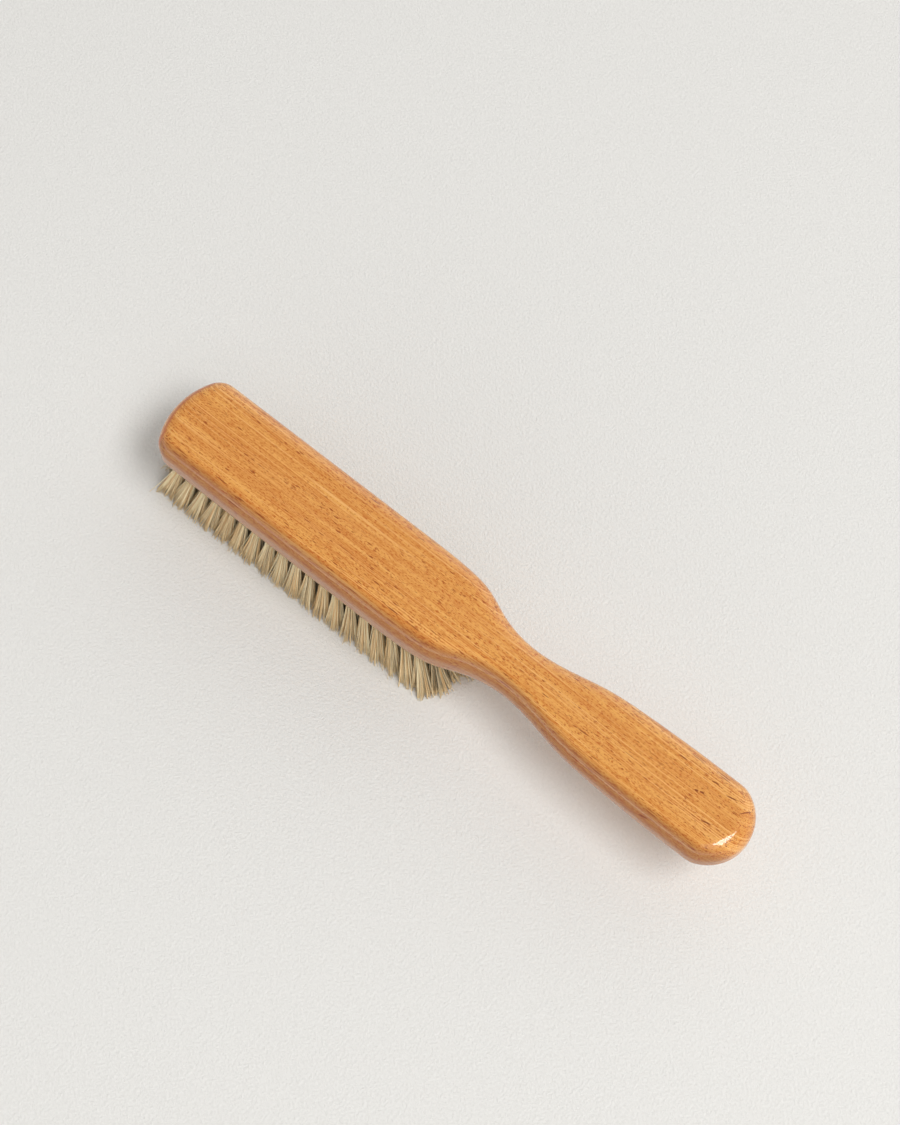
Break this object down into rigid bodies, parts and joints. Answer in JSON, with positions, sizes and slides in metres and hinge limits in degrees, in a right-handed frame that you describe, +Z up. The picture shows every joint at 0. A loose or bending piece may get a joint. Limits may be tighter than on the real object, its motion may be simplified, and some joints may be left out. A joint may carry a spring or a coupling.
{
  "type": "clothes brush",
  "caption": "Wooden clothes brush with a long flat-topped head, waisted neck and rounded paddle handle, and fanned tufts of pale natural bristle.",
  "frame": {"origin": "on the surface that the bristle tips rest on, below the middle of the brush's length and width", "axes": "+X along the brush from the head towards the end of the handle, +Y across it, +Z up from the bristle tips to the back of the head"},
  "size_m": [0.268, 0.0406, 0.0415],
  "materials": {
    "lacquered_wood": "pale reddish beech with fine dark flecks under clear gloss lacquer",
    "bristle": "bleached natural bristle, cream to straw",
    "anchor_metal": "bright drawn flat wire"
  },
  "bodies": {
    "root": {"wooden_body": "lacquered_wood", "tuft_row_01": "bristle", "tuft_row_02": "bristle", "tuft_row_03": "bristle", "tuft_row_04": "bristle", "tuft_row_05": "bristle", "tuft_row_06": "bristle", "tuft_row_07": "bristle", "tuft_row_08": "bristle", "tuft_row_09": "bristle", "tuft_row_10": "bristle", "tuft_row_11": "bristle", "tuft_row_12": "bristle", "tuft_row_13": "bristle", "tuft_row_14": "bristle", "tuft_row_15": "bristle", "tuft_row_16": "bristle", "tuft_row_17": "bristle", "tuft_row_18": "bristle", "tuft_row_19": "bristle", "tuft_row_20": "bristle", "tuft_row_21": "bristle", "anchor_row_01": "anchor_metal", "anchor_row_02": "anchor_metal", "anchor_row_03": "anchor_metal", "anchor_row_04": "anchor_metal", "anchor_row_05": "anchor_metal", "anchor_row_06": "anchor_metal", "anchor_row_07": "anchor_metal", "anchor_row_08": "anchor_metal", "anchor_row_09": "anchor_metal", "anchor_row_10": "anchor_metal", "anchor_row_11": "anchor_metal", "anchor_row_12": "anchor_metal", "anchor_row_13": "anchor_metal", "anchor_row_14": "anchor_metal", "anchor_row_15": "anchor_metal", "anchor_row_16": "anchor_metal", "anchor_row_17": "anchor_metal", "anchor_row_18": "anchor_metal", "anchor_row_19": "anchor_metal", "anchor_row_20": "anchor_metal", "anchor_row_21": "anchor_metal"}
  },
  "joints": []
}
